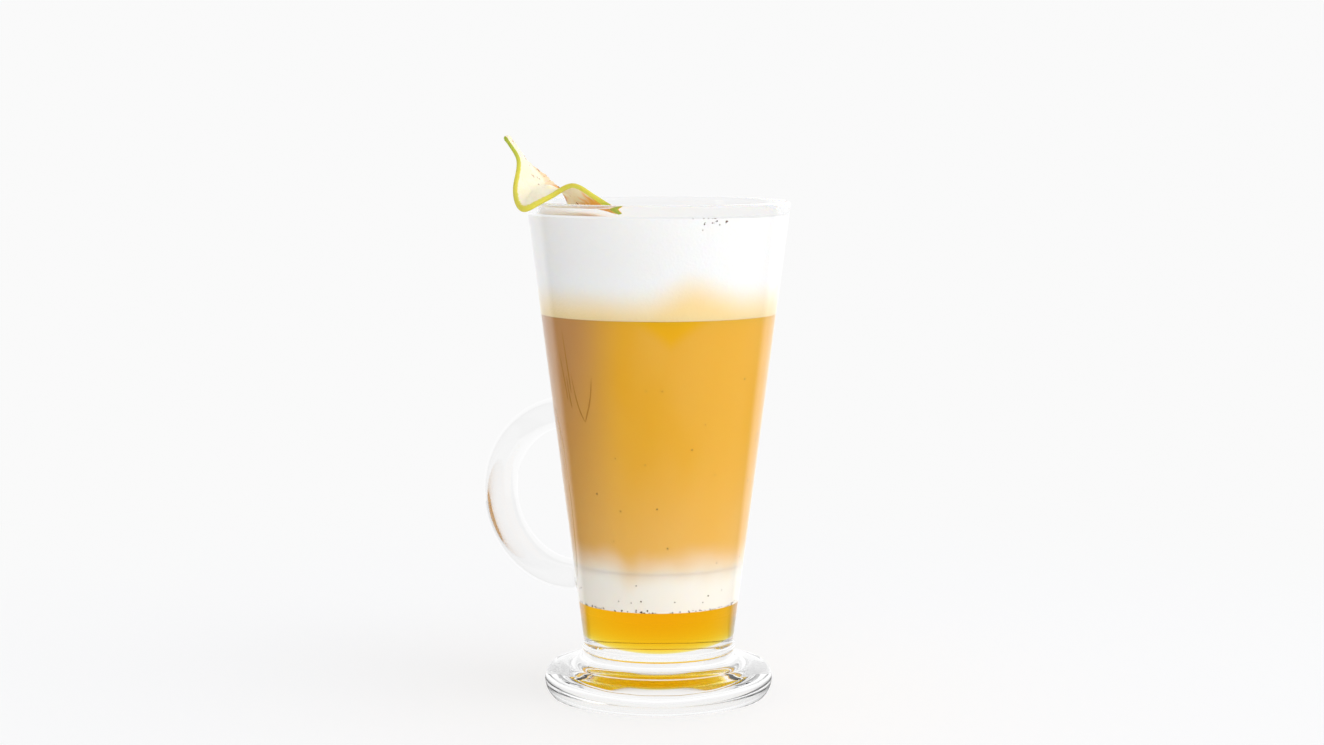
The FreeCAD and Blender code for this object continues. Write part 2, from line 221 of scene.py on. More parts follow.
class Nodes:
    """A short way to write the nodes of a material, or of a world's tree."""

    def __init__(self, name="", tree=None):
        if tree is None:
            self.material = bpy.data.materials.new(name)
            self.material.use_nodes = True
            tree = self.material.node_tree
            self.shader = tree.nodes["Principled BSDF"]
        self.tree = tree
        self.output = next(node for node in tree.nodes if node.type.startswith("OUTPUT"))

    def add(self, kind, **inputs):
        """A new node; settings that aren't sockets are set as properties first."""
        node = self.tree.nodes.new(kind)
        for key, value in inputs.items():
            if hasattr(node, key):
                setattr(node, key, value)
        for key, value in inputs.items():
            if not hasattr(node, key):
                self.put(node, key.replace("_", " "), value)
        return node

    def put(self, node, socket, value):
        """Sets a socket to a value, or links it to another socket."""
        target = node.inputs[socket]
        if isinstance(value, bpy.types.NodeSocket):
            self.tree.links.new(value, target)
        else:
            target.default_value = value

    def set(self, **inputs):
        """Sets the shader's own sockets."""
        for key, value in inputs.items():
            self.put(self.shader, key.replace("_", " "), value)

    def place(self):
        """The coordinates in the row's frame, in metres."""
        return self.add("ShaderNodeTexCoord").outputs["Object"]

    def split(self, vector):
        return self.add("ShaderNodeSeparateXYZ", Vector=vector).outputs

    def math(self, operation, *values):
        node = self.tree.nodes.new("ShaderNodeMath")
        node.operation = operation
        for index, value in enumerate(values):
            self.put(node, index, value)
        return node.outputs[0]

    def plus(self, first, second):
        return self.math("ADD", first, second)

    def minus(self, first, second):
        return self.math("SUBTRACT", first, second)

    def times(self, first, second):
        return self.math("MULTIPLY", first, second)

    def fade(self, value, low, high):
        """0 below low to 1 above high, smoothly."""
        node = self.tree.nodes.new("ShaderNodeMapRange")
        node.interpolation_type = "SMOOTHSTEP"
        for socket, number in zip(("Value", "From Min", "From Max"), (value, low, high)):
            self.put(node, socket, number)
        return node.outputs[0]

    def mix(self, share, first, second):
        """A blend of two colours."""
        node = self.tree.nodes.new("ShaderNodeMix")
        node.data_type = "RGBA"
        for index, value in ((0, share), (6, first), (7, second)):
            self.put(node, index, value)
        return node.outputs[2]

    def grey(self, level):
        """A neutral colour of this level."""
        node = self.add("ShaderNodeCombineColor", Red=level, Green=level, Blue=level)
        return node.outputs[0]

    def blend(self, share, first, second):
        """Ends the tree in a blend of two shaders' outputs."""
        both = self.add("ShaderNodeMixShader")
        for index, value in enumerate((share, first, second)):
            self.put(both, index, value)
        self.tree.links.new(both.outputs[0], self.output.inputs["Surface"])

    def noise(self, place, scale, detail=3.0):
        node = self.add("ShaderNodeTexNoise", Vector=place, Scale=scale, Detail=detail)
        return node.outputs["Fac"]

    def sway(self, noise, size):
        """Noise from 0 to 1, moved to around 0 and sized."""
        return self.times(self.minus(noise, 0.5), size)

    def stretch(self, place, scale):
        """Coordinates scaled by a different amount along each axis."""
        return self.add("ShaderNodeMapping", Vector=place, Scale=scale).outputs[0]

    def let_light_in(self):
        """Lets lamps and scattered light pass straight through, so that the drink is lit."""
        path = self.add("ShaderNodeLightPath").outputs
        straight = self.math("MAXIMUM", path["Is Shadow Ray"], path["Is Diffuse Ray"])
        clear = self.add("ShaderNodeBsdfTransparent")
        self.blend(straight, self.shader.outputs[0], clear.outputs[0])

    def dot(self, place, direction):
        """How far a place lies along a direction."""
        node = self.add("ShaderNodeVectorMath", operation="DOT_PRODUCT")
        self.put(node, 0, place)
        self.put(node, 1, direction)
        return node.outputs["Value"]

    def glow(self, place, direction, low, high, gain):
        """Light from round one direction; place is a unit vector, low and high are cosines."""
        facing = self.dot(place, direction.normalized())
        return self.times(self.fade(facing, low, high), gain)

    def bump(self, height, strength, distance):
        node = self.add("ShaderNodeBump", Height=height, Strength=strength, Distance=distance)
        return node.outputs[0]


def colour(red, green, blue):
    """A linear colour from display values of 0 to 255."""

    def linear(value):
        share = value / 255
        return share / 12.92 if share <= 0.04045 else ((share + 0.055) / 1.055) ** 2.4

    return (linear(red), linear(green), linear(blue), 1.0)


# ---------------------------------------------------------------------------------------------
# The view
# ---------------------------------------------------------------------------------------------

VIEW_TURN = math.radians(25.0)
VIEW_RIGHT = Vector((math.cos(VIEW_TURN), math.sin(VIEW_TURN), 0.0))
VIEW_AHEAD = Vector((-math.sin(VIEW_TURN), math.cos(VIEW_TURN), 0.0))
UP = Vector((0.0, 0.0, 1.0))

LENS = 71.86
SENSOR_WIDTH = 36.0
CAMERA_RIGHT = 0.00105
CAMERA_BACK = 0.7834
CAMERA_UP = 0.17703
CAMERA_DOWN_TILT = 0.102  # radians
LAMP_AIM = Vector((0.0, 0.0, 0.08))


def make_camera():
    """The camera, a long lens slightly above the rim, looking a little down."""
    camera = bpy.data.cameras.new("camera")
    camera.lens = LENS
    camera.sensor_width = SENSOR_WIDTH
    camera.clip_start = 0.01
    holder = new_object("camera", camera)
    holder.location = VIEW_RIGHT * CAMERA_RIGHT - VIEW_AHEAD * CAMERA_BACK + UP * CAMERA_UP
    holder.rotation_euler = (math.pi / 2 - CAMERA_DOWN_TILT, 0.0, VIEW_TURN)
    bpy.context.scene.camera = holder


def softbox(name, right, ahead, up, size, power):
    """A square area light that faces the drink, placed in the view's own directions."""
    lamp = bpy.data.lights.new(name, "AREA")
    lamp.size = size
    lamp.energy = power
    holder = new_object(name, lamp)
    holder.location = VIEW_RIGHT * right + VIEW_AHEAD * ahead + UP * up
    aim = LAMP_AIM - holder.location
    holder.rotation_euler = aim.to_track_quat("-Z", "Y").to_euler()


# The studio's light. Camera rays see BACKDROP. Scattered light, light through the glass and
# light mirrored by the glass each have a mix of their own.
BACKDROP = 0.955
WHITE = (BACKDROP, BACKDROP, BACKDROP, 1.0)
WALL_LIGHT = 1.35
ROOM_LIGHT = 0.55
KEY_LIGHT = 0.74
CEILING_LIGHT = 0.1
CLEAR_ROOM = 0.5
MIRROR_ROOM = 0.08
MIRROR_WALL = 0.92
MIRROR_RIGHT = 0.12

FLOOR_RADIUS = 4.0
FLOOR_SIDES = 96
FLOOR_PALE = 0.5  # the least share of plain white, so the shadow stays faint
FLOOR_FADE = (0.10, 0.42)  # metres from the glass's axis, from shadow to plain white


def mirrored(nodes):
    """1 for rays that bounced off the glass's surface, 0 for those that came through it."""
    path = nodes.add("ShaderNodeLightPath").outputs
    through = nodes.minus(1.0, path["Is Transmission Ray"])
    return nodes.times(path["Is Glossy Ray"], through)


def mirror_light(nodes, place):
    """What the glass mirrors: a bright wall behind, brighter at the right, and a dim room."""
    total = nodes.plus(nodes.glow(place, VIEW_AHEAD, 0.46, 0.68, MIRROR_WALL), MIRROR_ROOM)
    right = nodes.glow(place, VIEW_AHEAD + VIEW_RIGHT, 0.3, 0.95, MIRROR_RIGHT)
    return nodes.grey(nodes.plus(total, right))


def scattered_light(nodes, place):
    """What lights the drink: a bright wall behind, a key side at the right front, a ceiling."""
    right_front = VIEW_RIGHT - VIEW_AHEAD * 0.6 + UP * 0.1
    total = nodes.glow(place, VIEW_AHEAD, 0.69, 0.76, WALL_LIGHT - ROOM_LIGHT)
    total = nodes.plus(total, ROOM_LIGHT)
    total = nodes.plus(total, nodes.glow(place, right_front, -0.3, 0.9, KEY_LIGHT))
    return nodes.grey(nodes.plus(total, nodes.glow(place, UP, 0.3, 0.95, CEILING_LIGHT)))


def clear_light(nodes, place):
    """What shows through the glass: the backdrop, dimmer far to the sides."""
    behind = nodes.glow(place, VIEW_AHEAD, 0.30, 0.72, BACKDROP - CLEAR_ROOM)
    return nodes.grey(nodes.plus(behind, CLEAR_ROOM))


def make_world():
    """A white studio, which the camera sees as plain white."""
    world = bpy.data.worlds.new("studio")
    world.use_nodes = True
    bpy.context.scene.world = world
    nodes = Nodes(tree=world.node_tree)
    place = nodes.add("ShaderNodeTexCoord").outputs["Generated"]
    path = nodes.add("ShaderNodeLightPath").outputs
    shown = scattered_light(nodes, place)
    shown = nodes.mix(mirrored(nodes), shown, mirror_light(nodes, place))
    shown = nodes.mix(path["Is Transmission Ray"], shown, clear_light(nodes, place))
    shown = nodes.mix(path["Is Camera Ray"], shown, WHITE)
    background = nodes.add("ShaderNodeBackground", Color=shown)
    nodes.tree.links.new(background.outputs[0], nodes.output.inputs["Surface"])


def make_floor():
    """A pale floor that keeps the drink's soft shadow and fades to the backdrop's white."""
    mesh = bpy.data.meshes.new("floor")
    form = bmesh.new()
    bmesh.ops.create_circle(form, cap_ends=True, segments=FLOOR_SIDES, radius=FLOOR_RADIUS)
    form.to_mesh(mesh)
    form.free()
    floor = new_object("floor", mesh)
    nodes = Nodes("pale_floor")
    place = nodes.place()
    grain = nodes.noise(place, 3.0)
    nodes.set(
        Base_Color=nodes.mix(grain, colour(249, 250, 253), colour(252, 253, 255)),
        Roughness=1.0,
        Specular_IOR_Level=0.0,
    )
    distance = nodes.add("ShaderNodeVectorMath", operation="LENGTH")
    nodes.put(distance, 0, place)
    far = nodes.fade(distance.outputs["Value"], *FLOOR_FADE)
    pale = nodes.plus(nodes.times(far, 1 - FLOOR_PALE), FLOOR_PALE)
    path = nodes.add("ShaderNodeLightPath").outputs
    share = nodes.times(pale, path["Is Camera Ray"])
    share = nodes.math("MAXIMUM", share, path["Is Glossy Ray"])
    share = nodes.math("MAXIMUM", share, path["Is Transmission Ray"])
    direction = nodes.add("ShaderNodeVectorMath", operation="NORMALIZE")
    nodes.put(direction, 0, place)
    light = mirror_light(nodes, direction.outputs[0])
    white = nodes.add("ShaderNodeEmission", Color=nodes.mix(mirrored(nodes), WHITE, light))
    nodes.blend(share, nodes.shader.outputs[0], white.outputs[0])
    mesh.materials.append(nodes.material)


# ---------------------------------------------------------------------------------------------
# The glass
# ---------------------------------------------------------------------------------------------


def upright(corner):
    """The radius of the arc that stands upright at the foot's edge and passes a corner."""
    across, rise = FOOT_EDGE[0] - corner[0], FOOT_EDGE[1] - corner[1]
    return (across * across + rise * rise) / (2 * across)


def outside_outline():
    """The glass's outer outline, up to a round rim, without the cavity."""
    tread = (TREAD_RADIUS, 0.0)
    bead_foot = (CONE_RADIUS, CONE_FOOT - BEAD_DROP)
    cone_foot = (CONE_RADIUS, CONE_FOOT)
    dish_round = (DISH[0] ** 2 + DISH[1] ** 2) / (2 * DISH[1])
    rim_side = (outer_radius(GLASS_TOP - RIM_ROUND), GLASS_TOP - RIM_ROUND)
    rim_top = (RIM_RADIUS - RIM_ROUND, GLASS_TOP)
    outline = [(0.0, DISH[1])]
    outline += arc((0.0, DISH[1]), (DISH[0], 0.0), -dish_round, 14)
    outline += line((DISH[0], 0.0), tread, 3)
    outline += arc(tread, FOOT_EDGE, upright(tread), 14)
    outline += arc(FOOT_EDGE, SHOULDER, upright(SHOULDER), 14)
    outline += line(SHOULDER, FLARE, 4)
    outline += arc(FLARE, bead_foot, -FLARE_ROUND, 18)
    outline += arc(bead_foot, cone_foot, BEAD_ROUND, 14)
    outline += line(cone_foot, rim_side, 60)
    outline += arc(rim_side, rim_top, RIM_ROUND * 1.02, 10)
    outline.append((0.0, GLASS_TOP))
    return outline


def bowl_outline(out):
    """The rounded floor of the cavity up to the straight wall, moved outward into the glass."""
    slope = math.asin(BOWL[0] / BOWL_ROUND)
    edge = (BOWL[0] + out * math.sin(slope), BOWL[1] - out * math.cos(slope))
    wall_foot = (inner_radius(WALL_FOOT) + out, WALL_FOOT)
    outline = [(0.0, FLOOR - out)]
    outline += arc(outline[0], edge, BOWL_ROUND + out, 24)
    outline += arc(edge, wall_foot, CORNER_ROUND + out, 14)
    return outline


def cavity_outline(over):
    """The cavity's outline, which runs on past the rim so that it cuts cleanly."""
    rim_side = (inner_radius(GLASS_TOP - RIM_ROUND), GLASS_TOP - RIM_ROUND)
    rim_top = (RIM_RADIUS - WALL + RIM_ROUND, GLASS_TOP)
    outline = bowl_outline(0.0)
    outline += line(outline[-1], rim_side, 60)
    outline += arc(rim_side, rim_top, -RIM_ROUND * 1.02, 10)
    outline.append((rim_top[0], GLASS_TOP + over))
    outline.append((0.0, GLASS_TOP + over))
    return outline


def make_handle():
    """The ring handle, whose section spreads where it nears the wall, as pressed glass does."""
    centre = outer_radius(HANDLE_HEIGHT) + HANDLE_OFFSET
    half = np.array([HANDLE_THICKNESS / 2, HANDLE_WIDTH / 2])
    points = []
    for step in range(HANDLE_ALONG + 1):
        turn = math.radians(HANDLE_REACH) * (2 * step / HANDLE_ALONG - 1)
        for k in range(HANDLE_AROUND):
            angle = 2 * math.pi * k / HANDLE_AROUND
            section = np.array([math.cos(angle), math.sin(angle)])
            base = section * half
            out = section / half
            out /= np.linalg.norm(out)
            spread = 0.0
            for _ in range(HANDLE_ROUNDS):
                u, v = base + out * spread
                ring = HANDLE_BEND + u
                x, z = -(centre + ring * math.cos(turn)), HANDLE_HEIGHT + ring * math.sin(turn)
                away = math.hypot(x, v) - outer_radius(z)
                near = min(max(1 - away / HANDLE_BLEND, 0.0), 1.0)
                spread = HANDLE_BLEND * (1 - math.sqrt(max(1 - near * near, 0.0)))
            points.append((x, v, z))
    return mesh_from("handle_ring", points, tube_faces(HANDLE_ALONG, HANDLE_AROUND))


def glass_material():
    """Clear pressed glass with a faint waviness."""
    nodes = Nodes("clear_glass")
    waves = nodes.noise(nodes.stretch(nodes.place(), (1.0, 1.0, 0.45)), 90.0, 1.0)
    nodes.set(
        Base_Color=(1.0, 1.0, 1.0, 1.0),
        Roughness=0.0,
        IOR=1.5,
        Transmission_Weight=1.0,
        Normal=nodes.bump(waves, 0.25, 0.0004),
    )
    nodes.let_light_in()
    return nodes.material


def wet_wall_material():
    """The inside of the glass where the drink wets it: there nothing bends or mirrors light."""
    nodes = Nodes("wet_wall")
    nodes.set(Base_Color=(1.0, 1.0, 1.0, 1.0), Roughness=0.0, IOR=1.0, Transmission_Weight=1.0)
    nodes.let_light_in()
    return nodes.material


def is_wet(centre):
    """Whether a face of the glass lies against the drink."""
    x, y, z = (c / MM for c in centre)
    if not FLOOR - 0.01 <= z <= FOAM_TOP:
        return False
    return math.hypot(x, y) < inner_radius(z) + WET_REACH


def make_glass():
    glass = turned("glass_body", outside_outline())
    apply_boolean(glass, make_handle(), "UNION")
    apply_boolean(glass, turned("cavity", cavity_outline(3.0)), "DIFFERENCE")
    glass.data.materials.clear()
    glass.data.materials.append(glass_material())
    glass.data.materials.append(wet_wall_material())
    for face in glass.data.polygons:
        face.material_index = int(is_wet(face.center))
    sharpen(glass, SHARP_EDGE)
    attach(glass, "root")
    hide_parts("glass")


# ---------------------------------------------------------------------------------------------
# The drink
# ---------------------------------------------------------------------------------------------

SYRUP_CLEAR = (0.995, 0.872, 0.0, 1.0)  # what the syrup lets through; it absorbs the rest
SYRUP_DENSITY = 150.0  # per metre


def syrup_material():
    """Clear amber syrup; its colour is what it absorbs."""
    nodes = Nodes("amber_syrup")
    nodes.set(Base_Color=(1.0, 1.0, 1.0, 1.0), Roughness=0.0, IOR=1.0, Transmission_Weight=1.0)
    absorb = nodes.add("ShaderNodeVolumeAbsorption", Color=SYRUP_CLEAR, Density=SYRUP_DENSITY)
    nodes.tree.links.new(absorb.outputs[0], nodes.output.inputs["Volume"])
    nodes.let_light_in()
    return nodes.material


MILK_COLOUR = colour(250, 243, 231)
COFFEE_GOLD = colour(234, 178, 68)
COFFEE_DEEP = colour(232, 172, 40)
# painted shade: the brown that darkens the coffee's left side, where it lies in shade
COFFEE_SHADE_BROWN = colour(194, 142, 88)
COFFEE_MILKY = colour(246, 208, 150)
COFFEE_WEDGE = colour(234, 174, 6)
FOAM_COLOUR = colour(248, 248, 246)
FOAM_TINT = colour(253, 220, 160)


def drink_shader(nodes, base, depth=0.004):
    """The finish that milk, coffee and foam share."""
    nodes.set(
        Base_Color=base,
        Roughness=0.6,
        Specular_IOR_Level=0.0,
        Subsurface_Weight=0.3,
        Subsurface_Radius=(1.0, 0.7, 0.4),
        Subsurface_Scale=depth,
    )


class Drink(Nodes):
    """Nodes for a part of the drink, with the coordinates that its colours go by."""

    def __init__(self, name):
        super().__init__(name)
        self.spot = self.place()
        self.height = self.split(self.spot)["Z"]

    def along(self, direction):
        """How far a point lies along a level direction, in metres."""
        return self.dot(self.spot, direction)

    def waves(self, scale, flat, size):
        """Soft noise of about plus or minus size millimetres, flattened by a factor."""
        noise = self.noise(self.stretch(self.spot, (1.0, 1.0, flat)), scale, 2.5)
        return self.sway(noise, 4 * size * MM)

    def hump(self, value, centre, width):
        """1 at centre, falling smoothly to 0 at width either side, both in millimetres."""
        away = self.math("ABSOLUTE", self.minus(value, centre * MM))
        return self.minus(1.0, self.fade(away, 0.0, width * MM))

    def near_side(self):
        """1 on the half that faces away from the wall behind, 0 on the other."""
        return self.fade(self.along(-VIEW_AHEAD), 0.0, 8 * MM)


# Where the drink's colours change, in millimetres across the view and up from their layer's
# edge, and how much of each colour shows: the deep gold wedge under the foam, the painted
# shade of brown on the handle's side at the left of the view, the milky coffee low down, the
# milk's line with one lobe, and the foam's stain with one swell.
WEDGE_ACROSS = 3.5
WEDGE_SLOPE = 0.75
WEDGE_DEPTH = (4.5, 10.0)
WEDGE_SHARE = 0.8
# painted shade of brown, full at the left of the first place across the view, gone right of the
# second
SHADE_ACROSS = (-28.0, -8.0)
MILKY_RISE = 45.0
MILKY_SHARE = 0.3
MILK_LINE = (-5.0, 9.0)
LOBE_ACROSS = -8.5
LOBE_WIDTH = 4.0
LOBE_DROP = 2.0
STAIN_RISE = (-1.5, 11.5)
SWELL_ACROSS = 10.0
SWELL_WIDTH = 14.0
SWELL_RISE = 4.5


def coffee_colour(nodes):
    """Golden coffee, with deeper gold in clouds and under the foam. A painted shade makes it
    browner on the handle's side, at the left of the view, and it is milkier low down."""
    across = nodes.along(VIEW_RIGHT)
    clouds = nodes.noise(nodes.stretch(nodes.spot, (1.0, 1.0, 0.35)), 42.0, 2.0)
    gold = nodes.mix(nodes.fade(clouds, 0.32, 0.80), COFFEE_GOLD, COFFEE_DEEP)
    # a wedge of deep gold hangs from the foam on the near side
    edge = nodes.math("ABSOLUTE", nodes.minus(across, WEDGE_ACROSS * MM))
    depth = nodes.minus(COFFEE_TOP * MM, nodes.height)
    reach = nodes.plus(nodes.times(edge, WEDGE_SLOPE), depth)
    wedge = nodes.minus(1.0, nodes.fade(reach, *[d * MM for d in WEDGE_DEPTH]))
    wedge = nodes.times(wedge, nodes.near_side())
    gold = nodes.mix(nodes.times(wedge, WEDGE_SHARE), gold, COFFEE_WEDGE)
    # painted shade: brown on the left of the view, stronger towards the coffee's top
    wander = nodes.plus(across, nodes.waves(30.0, 0.3, 1.5))
    painted_shade = nodes.minus(1.0, nodes.fade(wander, *[a * MM for a in SHADE_ACROSS]))
    fill = nodes.fade(nodes.height, MILK_TOP * MM, COFFEE_TOP * MM)
    painted_shade = nodes.times(painted_shade, nodes.plus(nodes.times(fill, 0.5), 0.5))
    milky_top = (MILK_TOP + MILKY_RISE) * MM
    milky = nodes.minus(1.0, nodes.fade(nodes.height, MILK_TOP * MM, milky_top))
    gold = nodes.mix(nodes.times(milky, MILKY_SHARE), gold, COFFEE_MILKY)
    return nodes.mix(painted_shade, gold, COFFEE_SHADE_BROWN)


def milk_to_coffee(nodes):
    """The colours on both sides of the soft line where the coffee floats on the milk."""
    across = nodes.along(VIEW_RIGHT)
    level = nodes.plus(nodes.height, nodes.waves(45.0, 0.6, 3.0))
    lobe = nodes.times(nodes.hump(across, LOBE_ACROSS, LOBE_WIDTH), nodes.near_side())
    level = nodes.plus(level, nodes.times(lobe, LOBE_DROP * MM))
    share = nodes.fade(level, *[(MILK_TOP + rise) * MM for rise in MILK_LINE])
    return nodes.mix(share, MILK_COLOUR, coffee_colour(nodes))


def milk_material():
    nodes = Drink("milk")
    drink_shader(nodes, milk_to_coffee(nodes))
    return nodes.material


def coffee_material():
    nodes = Drink("milky_coffee")
    drink_shader(nodes, milk_to_coffee(nodes))
    return nodes.material


def foam_material():
    """White foam, stained where it sits on the coffee, with fine bubbles."""
    nodes = Drink("milk_foam")
    across = nodes.along(VIEW_RIGHT)
    swell = nodes.times(nodes.hump(across, SWELL_ACROSS, SWELL_WIDTH), nodes.near_side())
    shift = nodes.plus(nodes.waves(32.0, 0.6, 1.2), nodes.times(swell, SWELL_RISE * MM))
    level = nodes.minus(nodes.height, shift)
    share = nodes.fade(level, *[(COFFEE_TOP + rise) * MM for rise in STAIN_RISE])
    drink_shader(nodes, nodes.mix(share, FOAM_TINT, FOAM_COLOUR), 0.006)
    froth = nodes.add("ShaderNodeTexVoronoi", Vector=nodes.spot, Scale=1300.0)
    fine = nodes.noise(nodes.spot, 900.0, 3.0)
    bubbles = nodes.plus(nodes.times(froth.outputs["Distance"], 0.6), fine)
    nodes.set(Normal=nodes.bump(bubbles, 0.35, 0.00025))
    return nodes.material


def layer_outline(bottom, top, crown=0.0):
    """A layer between two heights, out to just inside the wall's glass."""
    low = (inner_radius(bottom) + INTO_WALL, bottom)
    high = (inner_radius(top) + INTO_WALL, top)
    outline = [(0.0, bottom)] + line((0.0, bottom), low, 6) + line(low, high, 24)
    for radius, height in line(high, (0.0, top), 12):
        outline.append((radius, height + crown * (1 - (radius / high[0]) ** 2)))
    return outline


def syrup_outline():
    """The syrup's outline, which fills the bowl and reaches just into the glass."""
    top = (inner_radius(SYRUP_TOP) + INTO_WALL, SYRUP_TOP)
    outline = bowl_outline(INTO_WALL)
    outline += line(outline[-1], top, 8)
    outline += line(top, (0.0, SYRUP_TOP), 6)
    return outline


def make_drink():
    layers = {
        "syrup": (syrup_outline(), syrup_material(), "amber_syrup"),
        "milk": (layer_outline(SYRUP_TOP, MILK_TOP), milk_material(), "milk"),
        "coffee": (layer_outline(MILK_TOP, COFFEE_TOP), coffee_material(), "milky_coffee"),
        "foam": (layer_outline(COFFEE_TOP, FOAM_TOP, FOAM_CROWN), foam_material(), "milk_foam"),
    }
    for node, (outline, material, slot) in layers.items():
        piece = turned(f"{node}_layer", outline)
        piece.data.materials.append(material)
        sharpen(piece, SHARP_EDGE)
        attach(piece, "root")
        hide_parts(node)


# ---------------------------------------------------------------------------------------------
# The dried pear slice
# ---------------------------------------------------------------------------------------------

# Where the slice crosses the rim, round from +X, its thickness and its play above the foam.
SLICE_ANGLE = math.radians(236.5)
SLICE_THICKNESS = 1.6
SLICE_PLAY = 0.15

# The slice's curl from stem to blossom end, as in the solid model. Each row is a place on the
# peel edge and one on the core edge, as (along the rim, off the wall, above the rim), and the
# arch of the flesh between them.
CURL = [
    ((-17.6, 6.4, 18.0), (-18.4, 5.0, 18.2), 0.0),
    ((-16.0, 4.4, 15.0), (-19.3, 2.9, 15.2), 0.3),
    ((-14.2, 2.8, 11.8), (-21.2, 0.6, 11.6), 0.6),
    ((-11.4, 4.0, 5.4), (-26.4, -2.2, 7.1), 1.0),
    ((-8.2, 5.2, 1.0), (-26.7, -4.1, 5.0), 1.6),
    ((-2.2, 4.4, -3.0), (-24.9, -6.3, 3.7), 3.0),
    ((0.0, 1.7, -1.3), (-23.5, -7.4, 3.0), 2.6),
    ((1.6, -0.6, 1.5), (-20.9, -8.3, 2.0), 1.2),
    ((7.5, -3.0, 4.5), (-13.9, -9.7, -1.5), 0.4),
    ((15.0, -3.5, 2.2), (-6.7, -12.1, -2.7), 0.6),
    ((21.6, -2.7, -0.7), (5.4, -13.3, -3.1), 0.5),
    ((27.6, -1.7, -3.6), (20.6, -8.6, -3.6), 0.2),
]


def slice_point(place):
    """A point of the slice's middle surface, from a place in CURL."""
    along, off, above = place
    middle = RIM_RADIUS - WALL / 2
    angle = SLICE_ANGLE + along / middle
    radius = middle + off + math.copysign(WALL / 2, off)
    height = GLASS_TOP + above + SLICE_THICKNESS / 2
    return np.array([radius * math.cos(angle), radius * math.sin(angle), height])


def smooth_curve(places, values):
    """The natural cubic spline through values at places, as a function of place."""
    places, values = np.array(places), np.array(values, float)
    gaps = np.diff(places)
    count = len(places)
    matrix, right = np.zeros((count, count)), np.zeros_like(values)
    matrix[0, 0] = matrix[-1, -1] = 1.0
    for k in range(1, count - 1):
        matrix[k, k - 1 : k + 2] = gaps[k - 1], 2 * (gaps[k - 1] + gaps[k]), gaps[k]
        rise = (values[k + 1] - values[k]) / gaps[k] - (values[k] - values[k - 1]) / gaps[k - 1]
        right[k] = 6 * rise
    bend = np.linalg.solve(matrix, right)

    def at(place):
        k = int(np.clip(np.searchsorted(places, place) - 1, 0, count - 2))
        a, b, gap = places[k + 1] - place, place - places[k], gaps[k]
        curve = (bend[k] * a**3 + bend[k + 1] * b**3) / (6 * gap)
        line_part = (values[k] / gap - bend[k] * gap / 6) * a
        return curve + line_part + (values[k + 1] / gap - bend[k + 1] * gap / 6) * b

    return at


def above_foam(point):
    """The same point, lifted where the slice would sink into the foam."""
    if math.hypot(point[0], point[1]) < RIM_RADIUS - WALL:
        lowest = FOAM_TOP + FOAM_CROWN + SLICE_PLAY + SLICE_THICKNESS / 2
        point[2] = max(point[2], lowest)
    return point


def unit(vector):
    return vector / np.linalg.norm(vector)


# The slice's mesh: steps along it and across each side, how near two points give a direction,
# and how many sines its waves are made of.
SLICE_ALONG = 260
SLICE_ACROSS = 36
SLICE_NEARBY = 0.05
SLICE_WAVES = 9

# The ragged core edge, the ripples of the flesh, the narrow far end and the knob on the stem.
RAGGED_DEPTH = 0.45
RAGGED_SHARE = 0.05  # of the width, where that is less than RAGGED_DEPTH
RAGGED_RATE = 2.2
RIPPLE = 0.10
RIPPLE_ALONG = 1.3
RIPPLE_ACROSS = 9
RIPPLE_TURN = 1.7
TIP_SHARE = 0.10  # the share of the slice's length over which its far end narrows
TIP_POWER = 0.65
TIP_LEAST = 0.05
KNOB_SWELL = 0.32
KNOB_PLACE = 0.5
KNOB_REACH = 1.1

# How the thickness runs out: each end's lead and reach along the slice, the sides' share at the
# peel and what they lose by the core, the flat part's margin at the core, and the corners of
# both edges, as how far in and how far off the middle.
STEM_LEAD, STEM_REACH = 0.25, 1.1
TIP_LEAD, TIP_REACH = 0.03, 1.8
SIDE_THICK, SIDE_LOSS = 0.94, 0.22
CORE_MARGIN = 0.4
CORE_CORNER = (0.1, 0.35)
PEEL_CORNER = (0.25, 0.62)

CREAM = (colour(254, 248, 228), colour(251, 238, 206))
BROWNED = (colour(255, 244, 214), colour(255, 234, 186))
RIPE_ORANGE = colour(250, 176, 50)
CORE_STAIN = colour(238, 184, 112)
CORE_SPECK = colour(176, 98, 36)
# a dark brown patch at the core edge, part way along the slice
CORE_DARK_PATCH = (colour(236, 160, 44), colour(120, 70, 14))
PEEL_STEM = colour(170, 194, 74)
PEEL_MIDDLE = colour(232, 222, 92)
PEEL_TIP = colour(150, 172, 34)
PEEL_MOTTLE = colour(216, 212, 62)


def flesh_colour(nodes, across, along, blotches):
    """Cream flesh that turns orange to the blossom end, stained and specked near the core."""
    ripe = nodes.plus(along, nodes.sway(blotches, 0.25))
    flesh = nodes.mix(
        nodes.fade(ripe, 0.50, 0.66), nodes.mix(blotches, *CREAM), nodes.mix(blotches, *BROWNED)
    )
    flesh = nodes.mix(nodes.fade(ripe, 0.76, 0.86), flesh, RIPE_ORANGE)
    core = nodes.plus(across, nodes.sway(blotches, 0.5))
    stain = nodes.times(nodes.fade(core, 0.70, 1.0), 0.6)
    stain = nodes.times(stain, nodes.fade(along, 0.62, 0.50))
    flesh = nodes.mix(stain, flesh, CORE_STAIN)
    specks = nodes.noise(nodes.place(), 620.0, 1.0)
    speck = nodes.times(nodes.fade(specks, 0.66, 0.72), nodes.fade(across, 0.3, 0.7))
    flesh = nodes.mix(speck, flesh, CORE_SPECK)
    # a dark brown patch near the core edge, from about halfway to three quarters along
    dark_patch = nodes.times(nodes.fade(core, 0.62, 0.84), nodes.fade(along, 0.46, 0.56))
    dark_patch = nodes.times(dark_patch, nodes.fade(along, 0.72, 0.64))
    return nodes.mix(dark_patch, flesh, nodes.mix(nodes.fade(core, 0.80, 0.98), *CORE_DARK_PATCH))


